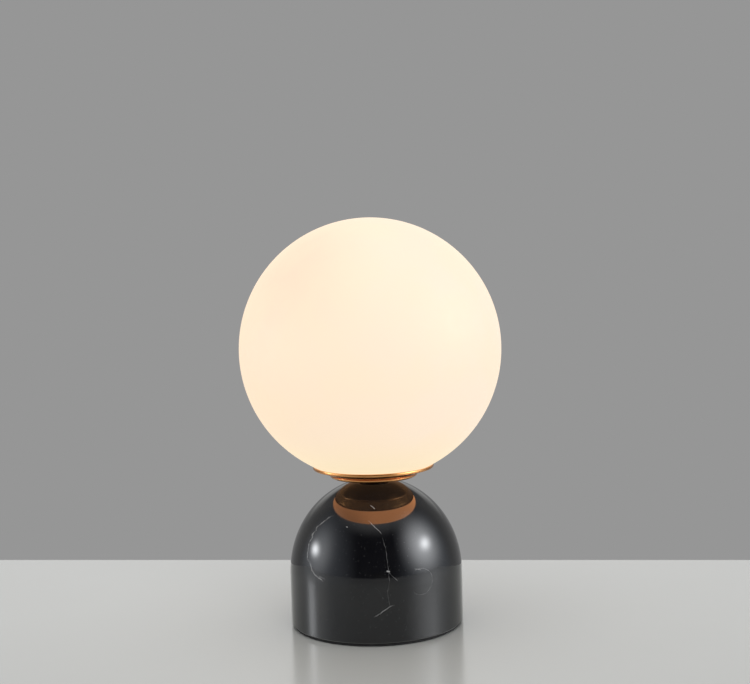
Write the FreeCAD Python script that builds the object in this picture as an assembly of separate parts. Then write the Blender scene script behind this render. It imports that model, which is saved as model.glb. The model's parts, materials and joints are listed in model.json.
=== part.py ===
import FreeCAD, Part
import math
import os

# Table lamp: an opal glass globe in a shallow copper dish, on a polished marble dome.
# Millimetres, +Z up. The origin is on the floor, under the centre of the base. +Y is the back.

# Driving dimensions
globe_radius = 100.0
globe_wall = 3.0
globe_seat_radius = 33.8       # outer radius of the globe's ground foot
globe_mouth_radius = 28.0      # clear hole in the foot
globe_gap = 0.3                # globe to dish
gasket_thickness = 0.6
gasket_inner_radius = 28.5

dish_thickness = 1.3
dish_rim_radius = 46.5
dish_rim_bulge = 0.4
plate_radius = 34.0            # lower tier of the dish
plate_thickness = 2.2
plate_edge_round = 1.0

neck_radius = 11.5
neck_height = 3.9

marble_radius = 66.4
marble_straight_height = 39.0
dome_rise = 71.3               # height of the whole ellipse above the straight side
dome_top_radius = 16.0         # flat on top of the dome
marble_chamfer = 0.8
marble_bore_gap = 0.5          # around the rod
recess_radius = 34.0
recess_depth = 22.0            # from the marble's bottom face

pad_thickness = 2.4
pad_inset = 2.0

cover_radius = 46.0
cover_thickness = 1.4
cover_gap = 0.3
cover_screw_circle = 40.0
cover_screw_angles = (30.0, 150.0, 270.0)
cover_screw_length = 8.0
insert_radius = 2.6
insert_length = 8.0

cord_hole_radius = 5.0
cord_bore_radius = 3.3
cord_height = 11.5
grommet_length = 13.8
grommet_flange_radius = 7.6
grommet_flange_thickness = 1.6
grommet_round = 0.5

rod_radius = 5.0
rod_bore_radius = 3.25
rod_bevel = 0.5
rod_top_reach = 4.8            # rod above the holder bracket
rod_bottom_reach = 2.7         # rod below the bottom nut
hole_gap = 0.1                 # around rods, leads, rivets and screws
overcut = 1.0                  # how far a cutting shape runs past a face
nut_flats = 14.0
nut_bevel = 0.65               # height of the turned-off corners
top_nut_height = 4.0
bottom_nut_height = 5.0
bracket_nut_height = 3.5
lock_washer_radius = 7.6
lock_washer_thickness = 1.0
lock_washer_split = 0.8
clamp_washer_radius = 12.0
clamp_washer_thickness = 2.0
bushing_flange_thickness = 1.0
bushing_flange_inset = 0.5
bushing_plug_length = 6.0
bushing_gap = 0.35             # around a lead

fitter_radius = 24.0
fitter_thickness = 1.0
spring_angles = (90.0, 210.0, 330.0)
spring_width = 8.0
spring_thickness = 0.5
spring_tab_start = 12.5
spring_tab_reach = 4.5         # flat of a leaf past its rivet
spring_rise = 14.5
spring_crest = 7.5
spring_tip_inset = 3.6
spring_bend = 2.0
spring_globe_gap = 0.4
rivet_circle = 16.5
rivet_radius = 1.25
rivet_head_radius = 2.2
rivet_head_height = 0.9
rivet_head_round = 0.6

pillar_radius = 7.5
pillar_height = 34.0

bracket_strip = 0.9            # left beside the rod's hole
bracket_half_span = 12.0
bracket_height = 11.0
bracket_thickness = 1.0
bracket_lug = 6.0
bracket_bend = 1.2

holder_radius = 12.5
holder_height = 20.0
holder_chamfer = 0.8
socket_length = 16.6
socket_width = 9.0
socket_depth = 5.0
slot_length = 5.4
slot_width = 2.2
slot_depth = 2.0
chamber_length = 6.4
chamber_width = 5.0
chamber_floor = 2.0
pin_pitch = 9.0                # between the bulb's two wire loops
holder_screw_pitch = 18.0
small_screw_radius = 1.45
small_hole_radius = 1.55
small_head_radius = 2.8
small_head_height = 1.9
head_sink = 0.4                # of a screw's head below the holder's top
head_gap = 0.3
holder_screw_reach = 3.0
driver_slot_width = 0.7
driver_slot_depth = 0.7
cross_width = 1.0              # cross recess of the cover's screws
cross_length = 3.4

contact_thickness = 0.4
contact_width = 4.8
contact_pinch = 0.15           # between a loop's wire and a contact leaf
contact_tail = 1.6
contact_top_gap = 0.4

bulb_radius = 9.5
bulb_wall = 1.0
bulb_height = 47.0             # envelope alone
bulb_foot_height = 8.7
bulb_foot_gap = 0.4
bulb_seat_gap = 0.3
bulb_collar_height = 7.0
bulb_ledge_height = 1.2
pin_wire_radius = 0.45
pin_loop_width = 3.2
pin_length = 9.6
pin_bend = 1.2
led_board_height = 29.0
led_board_width = 9.0
led_board_thickness = 1.2
led_rows = 6
led_size = 2.8
led_thickness = 0.7

strip_width = 18.0             # wiring bracket under the clamp washer
strip_thickness = 1.2
strip_front = 20.0
strip_back = 31.0
strip_corner = 2.5
earth_screw_place = 16.5
earth_tag_radius = 4.0
earth_tag_thickness = 0.8
earth_screw_reach = 0.6        # past the strip
crimp_radius = 1.35
crimp_length = 4.0
crimp_overlap = 0.6            # of the crimped barrel into the ring
crimp_drop = 1.5               # of its axis below the strip
block_length = 24.0
block_width = 16.0
block_height = 12.0
block_corner = 1.2
block_place = 21.5             # behind the rod's axis
pole_pitch = 8.0
barrel_radius = 2.6
barrel_bore_radius = 1.5
barrel_length = 14.0
clamp_screw_offset = 4.2
block_screw_offset = 4.0
block_screw_radius = 1.2
block_screw_head_height = 1.4
terminal_well_radius = 2.1
terminal_screw_radius = 1.35
terminal_screw_sink = 0.8
terminal_head_radius = 1.9
terminal_head_height = 1.6

lead_radius = 0.85
lead_offset = 1.2              # a lead's axis from the rod's axis
lead_bend = 2.2
lead_gap = 0.4                 # in the holder's foot
lead_past_screw = 1.6
lead_exit = 4.0                # straight run out of a terminal
lead_run_share = 0.4023        # of the way from the cover up to the rod, at the leads' low run
lead_gather_x = 4.6
lead_gather_y = 6.0
lead_inner_rise = 2.0          # of the turns above the rod
lead_outer_rise = 5.4
earth_lead_corner = -4.0

# Heights that follow
pad_top = pad_thickness
shoulder = pad_top + marble_straight_height
dome_angle = math.acos(dome_top_radius / marble_radius)
marble_top = shoulder + dome_rise * math.sin(dome_angle)
recess_top = pad_top + recess_depth
cover_top = pad_top + cover_thickness
neck_top = marble_top + neck_height
plate_top = neck_top + plate_thickness
dish_floor = plate_top + dish_thickness
globe_foot = dish_floor + gasket_thickness
globe_centre = globe_foot + math.sqrt(globe_radius ** 2 - globe_seat_radius ** 2)
dish_inner_radius = globe_radius + globe_gap
dish_outer_radius = dish_inner_radius + dish_thickness

fitter_top = dish_floor + fitter_thickness
top_nut_foot = fitter_top + lock_washer_thickness
pillar_foot = top_nut_foot + top_nut_height
bracket_foot = pillar_foot + pillar_height
bracket_floor = bracket_foot + bracket_thickness
rod_top = bracket_floor + rod_top_reach
holder_foot = bracket_foot + bracket_height
holder_top = holder_foot + holder_height
socket_floor = holder_top - socket_depth
bulb_foot = socket_floor + bulb_seat_gap
bulb_shoulder = bulb_foot + bulb_foot_height

clamp_washer_foot = recess_top - clamp_washer_thickness
strip_foot = clamp_washer_foot - strip_thickness
bottom_washer_foot = strip_foot - lock_washer_thickness
bottom_nut_foot = bottom_washer_foot - bottom_nut_height
rod_foot = bottom_nut_foot - rod_bottom_reach
pole_height = strip_foot - block_height / 2.0
rod_hole_radius = rod_radius + hole_gap
marble_bore_radius = rod_radius + marble_bore_gap
bracket_width = 2 * (rod_hole_radius + bracket_strip)

os.makedirs("parts", exist_ok=True)


def save(name, solids):
    """Write one node, made of one solid or of several alike."""
    if not isinstance(solids, list):
        solids = [solids]
    for solid in solids:
        if solid.ShapeType != "Solid" or not solid.isValid():
            raise ValueError(name + " isn't one sound solid")
    shape = solids[0] if len(solids) == 1 else Part.makeCompound(solids)
    shape.exportStep("parts/" + name + ".step")
    print(name, len(solids), round(sum(solid.Volume for solid in solids), 2))


def as_solid(shape):
    """The single solid inside a boolean's result."""
    solids = shape.Solids
    if len(solids) != 1:
        raise ValueError("expected one solid, got " + str(len(solids)))
    return solids[0]


def at(radius, height):
    """A point of a turned outline, in the plane that is revolved."""
    return FreeCAD.Vector(radius, 0, height)


def line(start, end):
    return Part.LineSegment(start, end).toShape()


def arc(start, middle, end):
    return Part.Arc(start, middle, end).toShape()


def polyline(points):
    return [line(a, b) for a, b in zip(points, points[1:])]


def turned(edges):
    """Revolve a closed outline about the lamp's axis."""
    face = Part.Face(Part.Wire(edges))
    solid = face.revolve(FreeCAD.Vector(0, 0, 0), FreeCAD.Vector(0, 0, 1), 360)
    solid = as_solid(solid)
    if solid.Volume < 0:
        solid.reverse()
    return solid


def disc(radius, low, high, hole=0.0, x=0.0, y=0.0):
    """An upright cylinder, or a ring where it has a hole."""
    body = Part.makeCylinder(radius, high - low, FreeCAD.Vector(x, y, low))
    if hole > 0:
        body = body.cut(Part.makeCylinder(hole, high - low, FreeCAD.Vector(x, y, low)))
    return as_solid(body)


def block(length, width, low, high, x=0.0, y=0.0):
    """A box centred on x, y."""
    corner = FreeCAD.Vector(x - length / 2.0, y - width / 2.0, low)
    return Part.makeBox(length, width, high - low, corner)


def along_y(radius, start, end, x, z):
    """A cylinder that lies along Y."""
    return Part.makeCylinder(radius, end - start, FreeCAD.Vector(x, start, z), FreeCAD.Vector(0, 1, 0))


def oblong(length, width, low, high):
    """A block with half-round ends, along X."""
    reach = (length - width) / 2.0
    body = block(2 * reach, width, low, high)
    for side in (-1, 1):
        body = body.fuse(disc(width / 2.0, low, high, x=side * reach))
    return as_solid(body.removeSplitter())


def on_circle(shape, angles):
    """Copies of a shape turned about the lamp's axis."""
    copies = []
    for angle in angles:
        copy = shape.copy()
        copy.rotate(FreeCAD.Vector(0, 0, 0), FreeCAD.Vector(0, 0, 1), angle)
        copies.append(copy)
    return copies


def rounded_route(points, bend):
    """Straight runs joined by tangent arcs of one radius."""
    edges = []
    start = points[0]
    for before, corner, after in zip(points, points[1:], points[2:]):
        back = (before - corner).normalize()
        ahead = (after - corner).normalize()
        half = back.getAngle(ahead) / 2.0
        reach = bend / math.tan(half)
        enter = corner + back * reach
        leave = corner + ahead * reach
        inward = (back + ahead).normalize()
        centre = corner + inward * (bend / math.sin(half))
        middle = centre - inward * bend
        edges.append(line(start, enter))
        edges.append(arc(enter, middle, leave))
        start = leave
    edges.append(line(start, points[-1]))
    return Part.Wire(edges)


def round_section(centre, direction, radius):
    return Part.Wire([Part.makeCircle(radius, centre, direction)])


def swept(points, bend, section):
    shape = rounded_route(points, bend).makePipeShell([section], True, False)
    solid = as_solid(shape) if shape.Solids else Part.Solid(shape)
    if solid.Volume < 0:
        solid.reverse()
    return solid


def wire_rod(points, bend, radius):
    direction = points[1] - points[0]
    return swept(points, bend, round_section(points[0], direction, radius))


def hex_nut(low, height):
    """A hexagon nut on the rod, with its corners turned off at both faces."""
    corner = nut_flats / math.sqrt(3.0)
    points = []
    for step in range(7):
        angle = math.radians(60.0 * step)
        points.append(FreeCAD.Vector(corner * math.cos(angle), corner * math.sin(angle), low))
    prism = Part.Face(Part.makePolygon(points)).extrude(FreeCAD.Vector(0, 0, height))
    flat = nut_flats / 2.0
    outline = [
        at(rod_hole_radius, low), at(flat, low), at(corner, low + nut_bevel),
        at(corner, low + height - nut_bevel), at(flat, low + height),
        at(rod_hole_radius, low + height), at(rod_hole_radius, low),
    ]
    return as_solid(prism.common(turned(polyline(outline))))


def lock_washer(low):
    """A split spring washer round the rod."""
    high = low + lock_washer_thickness
    ring = disc(lock_washer_radius, low, high, rod_hole_radius)
    split = block(lock_washer_radius, lock_washer_split, low, high, x=-lock_washer_radius)
    return as_solid(ring.cut(split))


def sphere_height(radius, at_radius):
    """Height of the lower half of a sphere about the globe's centre."""
    return globe_centre - math.sqrt(radius ** 2 - at_radius ** 2)


def lower_arc(radius, from_r, to_r):
    """An arc of such a sphere between two distances from the axis."""
    mid_r = (from_r + to_r) / 2.0
    ends = [at(r, sphere_height(radius, r)) for r in (from_r, mid_r, to_r)]
    return arc(*ends)


# Globe and what it rests on

def glass_globe():
    inner_radius = globe_radius - globe_wall
    inner_edge = at(globe_mouth_radius, sphere_height(inner_radius, globe_mouth_radius))
    outer_edge = at(globe_seat_radius, globe_foot)
    edges = [
        line(at(globe_mouth_radius, globe_foot), outer_edge),
        arc(outer_edge, at(globe_radius, globe_centre), at(0, globe_centre + globe_radius)),
        line(at(0, globe_centre + globe_radius), at(0, globe_centre + inner_radius)),
        arc(at(0, globe_centre + inner_radius), at(inner_radius, globe_centre), inner_edge),
        line(inner_edge, at(globe_mouth_radius, globe_foot)),
    ]
    return turned(edges)


def globe_gasket():
    outer = math.sqrt(dish_inner_radius ** 2 - (globe_centre - dish_floor) ** 2) - globe_gap
    return disc(outer, dish_floor, globe_foot, gasket_inner_radius)


def upper_dish():
    """Spun dish: a flat floor, then a flare that follows the globe up to a round lip."""
    rise = math.asin(dish_rim_radius / dish_outer_radius)
    inner_lip = at(dish_inner_radius * math.sin(rise),
                   globe_centre - dish_inner_radius * math.cos(rise))
    outer_lip = at(dish_rim_radius, sphere_height(dish_outer_radius, dish_rim_radius))
    tangent = FreeCAD.Vector(math.cos(rise), 0, math.sin(rise))
    lip_top = (inner_lip + outer_lip) * 0.5 + tangent * dish_rim_bulge
    floor_inner = math.sqrt(dish_inner_radius ** 2 - (globe_centre - dish_floor) ** 2)
    floor_outer = math.sqrt(dish_outer_radius ** 2 - (globe_centre - plate_top) ** 2)
    edges = [
        line(at(rod_hole_radius, plate_top), at(rod_hole_radius, dish_floor)),
        line(at(rod_hole_radius, dish_floor), at(floor_inner, dish_floor)),
        lower_arc(dish_inner_radius, floor_inner, inner_lip.x),
        arc(inner_lip, lip_top, outer_lip),
        lower_arc(dish_outer_radius, dish_rim_radius, floor_outer),
        line(at(floor_outer, plate_top), at(rod_hole_radius, plate_top)),
    ]
    return turned(edges)


def lower_plate():
    """Lower tier under the dish, with a rounded lower edge."""
    bend = plate_edge_round
    slant = bend * (1 - math.sqrt(0.5))
    edges = polyline([
        at(plate_radius, neck_top + bend), at(plate_radius, plate_top),
        at(rod_hole_radius, plate_top), at(rod_hole_radius, neck_top),
        at(plate_radius - bend, neck_top),
    ])
    edges.append(arc(at(plate_radius - bend, neck_top),
                     at(plate_radius - slant, neck_top + slant),
                     at(plate_radius, neck_top + bend)))
    return turned(edges)


# Marble base

def dome_curve():
    """Exact arc of an ellipse from the shoulder up to the flat top."""
    curve = Part.BezierCurve()
    curve.setPoles([
        at(marble_radius, shoulder),
        at(marble_radius, shoulder + dome_rise * math.tan(dome_angle / 2.0)),
        at(dome_top_radius, marble_top),
    ])
    curve.setWeight(2, math.cos(dome_angle / 2.0))
    return curve.toShape()


def marble_base():
    rebate_radius = cover_radius + cover_gap
    edges = [dome_curve()] + polyline([
        at(dome_top_radius, marble_top), at(marble_bore_radius, marble_top),
        at(marble_bore_radius, recess_top), at(recess_radius, recess_top),
        at(recess_radius, cover_top), at(rebate_radius, cover_top),
        at(rebate_radius, pad_top), at(marble_radius - marble_chamfer, pad_top),
        at(marble_radius, pad_top + marble_chamfer), at(marble_radius, shoulder),
    ])
    body = turned(edges)
    body = body.cut(along_y(cord_hole_radius, 0, marble_radius + overcut, 0, cord_height))
    seat = flange_seat()
    body = body.cut(along_y(grommet_flange_radius + hole_gap, seat, marble_radius + overcut, 0, cord_height))
    hole = disc(insert_radius, cover_top, cover_top + insert_length, x=cover_screw_circle)
    for copy in on_circle(hole, cover_screw_angles):
        body = body.cut(copy)
    return as_solid(body)


def flange_seat():
    """Depth of the flat that the grommet's flange is let into."""
    chord = math.sqrt(marble_radius ** 2 - grommet_flange_radius ** 2)
    return chord - grommet_flange_thickness


def cord_grommet():
    seat = flange_seat()
    end = seat + grommet_flange_thickness
    body = along_y(cord_hole_radius - hole_gap, end - grommet_length, seat, 0, cord_height)
    body = body.fuse(along_y(grommet_flange_radius, seat, end, 0, cord_height))
    body = body.removeSplitter()
    rim = [edge for edge in body.Edges if is_flange_rim(edge, end)]
    body = body.makeFillet(grommet_round, rim)
    body = body.cut(along_y(cord_bore_radius, end - grommet_length, end, 0, cord_height))
    return as_solid(body)


def is_flange_rim(edge, end):
    """True for the outer circle of the flange's outer face."""
    if not isinstance(edge.Curve, Part.Circle):
        return False
    on_face = abs(edge.Curve.Center.y - end) < 1e-6
    return on_face and abs(edge.Curve.Radius - grommet_flange_radius) < 1e-6


def base_pad():
    return disc(marble_radius - pad_inset, 0, pad_top)


def countersunk_screw():
    """Flush screw, head down, standing at the cover's screw circle."""
    x = cover_screw_circle
    head = Part.makeCone(small_head_radius, small_screw_radius, cover_thickness,
                         FreeCAD.Vector(x, 0, pad_top))
    shank = disc(small_screw_radius, pad_top, pad_top + cover_screw_length, x=x)
    recess = block(cross_width, cross_length, pad_top, pad_top + driver_slot_depth, x=x)
    recess = recess.fuse(block(cross_length, cross_width, pad_top, pad_top + driver_slot_depth, x=x))
    return as_solid(head.fuse(shank).removeSplitter().cut(recess))


def bottom_cover():
    body = disc(cover_radius, pad_top, cover_top)
    hole = Part.makeCone(small_head_radius + hole_gap, small_screw_radius + hole_gap, cover_thickness,
                         FreeCAD.Vector(cover_screw_circle, 0, pad_top))
    for copy in on_circle(hole, cover_screw_angles):
        body = body.cut(copy)
    return as_solid(body)


def cover_insert():
    x = cover_screw_circle
    return disc(insert_radius, cover_top, cover_top + insert_length, small_hole_radius, x=x)


# Rod and what it clamps

def threaded_rod():
    return turned(polyline([
        at(rod_bore_radius, rod_foot), at(rod_radius - rod_bevel, rod_foot),
        at(rod_radius, rod_foot + rod_bevel), at(rod_radius, rod_top - rod_bevel),
        at(rod_radius - rod_bevel, rod_top), at(rod_bore_radius, rod_top),
        at(rod_bore_radius, rod_foot),
    ]))


def end_bushing(end, inward):
    """Plastic edge guard in the mouth of the rod; inward is 1 up into it, or -1 down."""
    bore = lead_offset + lead_radius + bushing_gap
    flange = end - inward * bushing_flange_thickness
    reach = end + inward * bushing_plug_length
    plug = disc(rod_bore_radius - hole_gap, min(flange, reach), max(flange, reach))
    collar = disc(rod_radius - bushing_flange_inset, min(flange, end), max(flange, end))
    body = plug.fuse(collar).removeSplitter()
    return as_solid(body.cut(disc(bore, min(flange, reach), max(flange, reach))))


def fitter_plate():
    body = disc(fitter_radius, dish_floor, fitter_top, rod_hole_radius)
    hole = disc(rivet_radius + hole_gap, dish_floor, fitter_top, x=rivet_circle)
    for copy in on_circle(hole, spring_angles):
        body = body.cut(copy)
    return as_solid(body)


def globe_spring():
    """Leaf riveted to the fitter, which bows out to the mouth of the globe."""
    middle = fitter_top + spring_thickness / 2.0
    bow = globe_mouth_radius - spring_globe_gap - spring_thickness
    route = [
        at(spring_tab_start, middle), at(rivet_circle + spring_tab_reach, middle),
        at(bow, middle + spring_crest), at(bow - spring_tip_inset, middle + spring_rise),
    ]
    half = spring_width / 2.0
    low = fitter_top
    high = fitter_top + spring_thickness
    x = spring_tab_start
    corners = [
        FreeCAD.Vector(x, -half, low), FreeCAD.Vector(x, half, low),
        FreeCAD.Vector(x, half, high), FreeCAD.Vector(x, -half, high),
        FreeCAD.Vector(x, -half, low),
    ]
    leaf = swept(route, spring_bend, Part.makePolygon(corners))
    hole = disc(rivet_radius + hole_gap, low - overcut, high + overcut, x=rivet_circle)
    return as_solid(leaf.cut(hole))


def spring_rivet():
    top = fitter_top + spring_thickness
    shank = disc(rivet_radius, dish_floor, top, x=rivet_circle)
    head = disc(rivet_head_radius, top, top + rivet_head_height, x=rivet_circle)
    crown = [edge for edge in head.Edges if edge.BoundBox.ZMin > top + rivet_head_round]
    head = head.makeFillet(rivet_head_round, crown)
    return as_solid(shank.fuse(head).removeSplitter())


# Lamp holder

def holder_bracket():
    """Stirrup clamped on top of the pillar; its lugs carry the holder."""
    middle = bracket_foot + bracket_thickness / 2.0
    top = holder_foot - bracket_thickness / 2.0
    side = bracket_half_span
    lug = side - bracket_lug
    places = [(lug, top), (side, top), (side, middle), (-side, middle), (-side, top), (-lug, top)]
    route = [FreeCAD.Vector(0, y, z) for y, z in places]
    half = bracket_width / 2.0
    low = top - bracket_thickness / 2.0
    corners = [
        FreeCAD.Vector(-half, lug, low), FreeCAD.Vector(half, lug, low),
        FreeCAD.Vector(half, lug, holder_foot), FreeCAD.Vector(-half, lug, holder_foot),
        FreeCAD.Vector(-half, lug, low),
    ]
    body = swept(route, bracket_bend, Part.makePolygon(corners))
    body = body.cut(disc(rod_hole_radius, bracket_foot - overcut, bracket_floor + overcut))
    for side_sign in (-1, 1):
        y = side_sign * holder_screw_pitch / 2.0
        body = body.cut(disc(small_hole_radius, low - overcut, holder_foot + overcut, y=y))
    return as_solid(body)


def holder_body():
    """Ceramic body: a socket for the bulb's foot, two slots, and a chamber under each."""
    body = turned(polyline([
        at(0, holder_foot), at(holder_radius, holder_foot),
        at(holder_radius, holder_top - holder_chamfer),
        at(holder_radius - holder_chamfer, holder_top), at(0, holder_top), at(0, holder_foot),
    ]))
    body = body.cut(oblong(socket_length, socket_width, socket_floor, holder_top + overcut))
    chamber_foot = holder_foot + chamber_floor
    chamber_top = socket_floor - slot_depth
    for side in (-1, 1):
        x = side * pin_pitch / 2.0
        y = side * holder_screw_pitch / 2.0
        body = body.cut(block(slot_length, slot_width, chamber_top - overcut, socket_floor + overcut, x=x))
        body = body.cut(block(chamber_length, chamber_width, chamber_foot, chamber_top, x=x))
        body = body.cut(disc(lead_radius + lead_gap, holder_foot - overcut, chamber_foot + overcut, x=x))
        body = body.cut(disc(small_hole_radius, holder_foot - overcut, holder_top + overcut, y=y))
        head_floor = holder_top - small_head_height - head_sink
        body = body.cut(disc(small_head_radius + head_gap, head_floor, holder_top + overcut, y=y))
    return as_solid(body)


def holder_screw(y):
    """Cheese-head screw from the top of the holder into a lug."""
    head_foot = holder_top - small_head_height - head_sink
    head_top = head_foot + small_head_height
    body = disc(small_screw_radius, holder_foot - holder_screw_reach, head_foot, y=y)
    body = body.fuse(disc(small_head_radius, head_foot, head_top, y=y))
    slot = block(2 * small_head_radius, driver_slot_width, head_top - driver_slot_depth, head_top, y=y)
    return as_solid(body.removeSplitter().cut(slot))


def holder_contact(x):
    """Folded spring contact: two leaves that pinch a loop, on a base with a tail."""
    inner = pin_wire_radius + contact_pinch
    outer = inner + contact_thickness
    floor = holder_foot + chamber_floor + contact_tail
    top = socket_floor - slot_depth - contact_top_gap
    body = block(contact_width, 2 * outer, floor, top, x=x)
    gap = block(contact_width, 2 * inner, floor + contact_thickness, top, x=x)
    body = body.cut(gap)
    tail = disc(lead_radius, holder_foot + chamber_floor, floor, x=x)
    return as_solid(body.fuse(tail).removeSplitter())


# Bulb

def bulb_envelope():
    """Frosted capsule, open below, with a hemispherical top."""
    inner = bulb_radius - bulb_wall
    crown = bulb_shoulder + bulb_height - bulb_radius
    diagonal = math.sqrt(0.5)
    edges = polyline([
        at(inner, bulb_shoulder), at(bulb_radius, bulb_shoulder), at(bulb_radius, crown),
    ])
    edges.append(arc(at(bulb_radius, crown), at(bulb_radius * diagonal, crown + bulb_radius * diagonal),
                     at(0, crown + bulb_radius)))
    edges.append(line(at(0, crown + bulb_radius), at(0, crown + inner)))
    edges.append(arc(at(0, crown + inner), at(inner * diagonal, crown + inner * diagonal),
                     at(inner, crown)))
    edges.append(line(at(inner, crown), at(inner, bulb_shoulder)))
    return turned(edges)


def bulb_base():
    """Foot that drops into the socket, and the collar that carries the envelope."""
    length = socket_length - 2 * bulb_foot_gap
    width = socket_width - 2 * bulb_foot_gap
    foot = oblong(length, width, bulb_foot, bulb_shoulder)
    collar = disc(bulb_radius - bulb_wall - hole_gap, bulb_shoulder, bulb_shoulder + bulb_collar_height)
    ledge = disc(bulb_radius, bulb_shoulder - bulb_ledge_height, bulb_shoulder)
    return as_solid(foot.fuse(ledge).fuse(collar).removeSplitter())


def bulb_pin(x):
    """One of the two wire loops under the bulb."""
    half = pin_loop_width / 2.0
    low = bulb_foot - pin_length
    places = [(x - half, bulb_foot), (x - half, low), (x + half, low), (x + half, bulb_foot)]
    route = [FreeCAD.Vector(px, 0, pz) for px, pz in places]
    return wire_rod(route, pin_bend, pin_wire_radius)


def led_board():
    low = bulb_shoulder + bulb_collar_height
    return block(led_board_width, led_board_thickness, low, low + led_board_height)


def led_chips():
    """Emitters in a column on both faces of the board."""
    chips = []
    low = bulb_shoulder + bulb_collar_height
    pitch = led_board_height / led_rows
    for row in range(led_rows):
        z = low + pitch * (row + 0.5)
        for side in (-1, 1):
            y = side * (led_board_thickness + led_thickness) / 2.0
            chips.append(block(led_size, led_thickness, z - led_size / 2.0, z + led_size / 2.0, y=y))
    return chips


# Wiring chamber

def wiring_strip():
    """Steel strip under the clamp washer, which carries the terminals and the earth screw."""
    length = strip_front + strip_back
    body = block(strip_width, length, strip_foot, clamp_washer_foot, y=(strip_back - strip_front) / 2.0)
    uprights = [edge for edge in body.Edges if edge.BoundBox.ZLength > strip_thickness / 2.0]
    body = body.makeFillet(strip_corner, uprights)
    low = strip_foot - overcut
    high = clamp_washer_foot + overcut
    body = body.cut(disc(rod_hole_radius, low, high))
    for x in (-block_screw_offset, block_screw_offset):
        body = body.cut(disc(block_screw_radius + hole_gap, low, high, x=x, y=block_place))
    return as_solid(body.cut(disc(small_hole_radius, low, high, y=-earth_screw_place)))


def pole_places():
    return [-pole_pitch, 0.0, pole_pitch]


def clamp_places():
    return [block_place - clamp_screw_offset, block_place + clamp_screw_offset]


def terminal_block():
    low = strip_foot - block_height
    body = block(block_length, block_width, low, strip_foot, y=block_place)
    uprights = [edge for edge in body.Edges if edge.BoundBox.ZLength > block_height / 2.0]
    body = body.makeFillet(block_corner, uprights)
    front = block_place - block_width / 2.0
    back = block_place + block_width / 2.0
    for x in pole_places():
        body = body.cut(along_y(barrel_radius, front - overcut, back + overcut, x, pole_height))
        for y in clamp_places():
            body = body.cut(disc(terminal_well_radius, low - overcut, pole_height, x=x, y=y))
    for x in (-block_screw_offset, block_screw_offset):
        hole = disc(block_screw_radius + hole_gap, low - overcut, strip_foot + overcut, x=x, y=block_place)
        body = body.cut(hole)
    return as_solid(body)


def terminal_barrel(x):
    start = block_place - barrel_length / 2.0
    body = along_y(barrel_radius, start, start + barrel_length, x, pole_height)
    end = start + barrel_length
    body = body.cut(along_y(barrel_bore_radius, start - overcut, end + overcut, x, pole_height))
    hole = terminal_screw_radius + hole_gap
    for y in clamp_places():
        body = body.cut(disc(hole, pole_height - barrel_radius - overcut, pole_height, x=x, y=y))
    return as_solid(body)


def slotted(body, head_radius, low, x, y):
    """Cut a driver slot into the underside of a head."""
    slot = block(2 * head_radius, driver_slot_width, low, low + driver_slot_depth, x=x, y=y)
    return as_solid(body.removeSplitter().cut(slot))


def terminal_screw(x, y):
    """Clamp screw driven up from below until it meets the conductor."""
    low = strip_foot - block_height + terminal_screw_sink
    tip = pole_height - lead_radius - hole_gap
    body = disc(terminal_screw_radius, low, tip, x=x, y=y)
    body = body.fuse(disc(terminal_head_radius, low, low + terminal_head_height, x=x, y=y))
    return slotted(body, terminal_head_radius, low, x, y)


def block_screw(x):
    head_top = strip_foot - block_height
    low = head_top - block_screw_head_height
    body = disc(block_screw_radius, low, clamp_washer_foot, x=x, y=block_place)
    body = body.fuse(disc(terminal_head_radius, low, head_top, x=x, y=block_place))
    return slotted(body, terminal_head_radius, low, x, block_place)


def earth_screw():
    y = -earth_screw_place
    head_top = strip_foot - earth_tag_thickness
    low = head_top - small_head_height
    body = disc(small_screw_radius, low, clamp_washer_foot + earth_screw_reach, y=y)
    body = body.fuse(disc(small_head_radius, low, head_top, y=y))
    return slotted(body, small_head_radius, low, 0, y)


def earth_tag():
    """Ring tag and its crimped barrel, which points along X."""
    y = -earth_screw_place
    low = strip_foot - earth_tag_thickness
    ring = disc(earth_tag_radius, low, strip_foot, y=y)
    start = FreeCAD.Vector(earth_tag_radius - crimp_overlap, y, strip_foot - crimp_drop)
    barrel = Part.makeCylinder(crimp_radius, crimp_length, start, FreeCAD.Vector(1, 0, 0))
    body = ring.fuse(barrel).removeSplitter()
    return as_solid(body.cut(disc(small_hole_radius, low - overcut, strip_foot + overcut, y=y)))


def lead_end():
    """How far a lead reaches into its terminal."""
    return block_place - clamp_screw_offset + lead_past_screw


def supply_lead(side, pole):
    """Insulated lead from a terminal, up through the rod, to a contact of the holder."""
    x = side * lead_offset
    contact = side * pin_pitch / 2.0
    low = cover_top + lead_run_share * (rod_foot - cover_top)
    front = block_place - block_width / 2.0
    return [
        FreeCAD.Vector(pole, lead_end(), pole_height),
        FreeCAD.Vector(pole, front - lead_exit, pole_height),
        FreeCAD.Vector(side * lead_gather_x, lead_gather_y, low),
        FreeCAD.Vector(x, 0, low),
        FreeCAD.Vector(x, 0, rod_top + lead_inner_rise),
        FreeCAD.Vector(contact, 0, rod_top + lead_outer_rise),
        FreeCAD.Vector(contact, 0, holder_foot + chamber_floor),
    ]


def earth_lead():
    y = -earth_screw_place
    z = strip_foot - crimp_drop
    start = earth_tag_radius - crimp_overlap + crimp_length
    front = block_place - block_width / 2.0
    side = clamp_washer_radius
    return [
        FreeCAD.Vector(start, y, z),
        FreeCAD.Vector(side, y, z),
        FreeCAD.Vector(side, earth_lead_corner, pole_height),
        FreeCAD.Vector(pole_pitch, front - lead_exit, pole_height),
        FreeCAD.Vector(pole_pitch, lead_end(), pole_height),
    ]


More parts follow.
